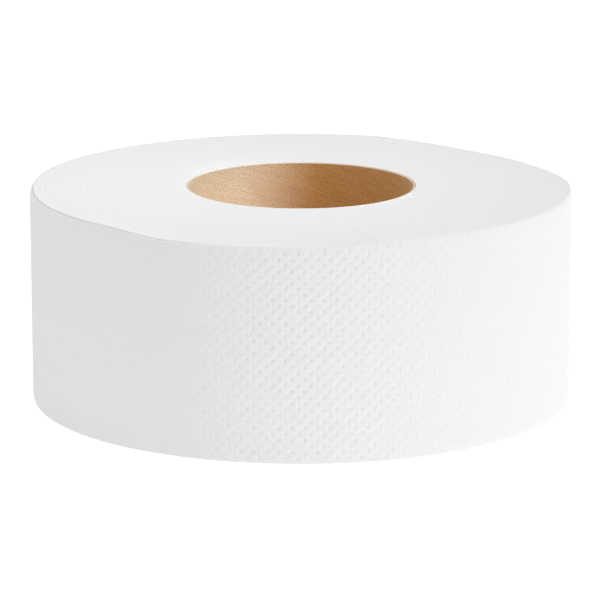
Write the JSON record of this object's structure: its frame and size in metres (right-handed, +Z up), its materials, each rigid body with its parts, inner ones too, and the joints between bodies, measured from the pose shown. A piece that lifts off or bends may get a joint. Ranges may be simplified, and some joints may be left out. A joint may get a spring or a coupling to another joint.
{
  "type": "toilet paper roll",
  "caption": "Wide white two-ply embossed tissue roll for a washroom dispenser, wound on a brown paperboard tube, standing on its end.",
  "frame": {"origin": "on the roll's axis, at the end that it stands on", "axes": "+Z up the roll's axis, -Y towards the side that the picture shows"},
  "size_m": [0.1996, 0.1998, 0.079],
  "materials": {
    "tissue": "soft matte creped and embossed tissue",
    "core_board": "matte brown spiral-wound board"
  },
  "bodies": {
    "root": {"tissue_winding": "tissue", "core_tube": "core_board"}
  },
  "joints": []
}
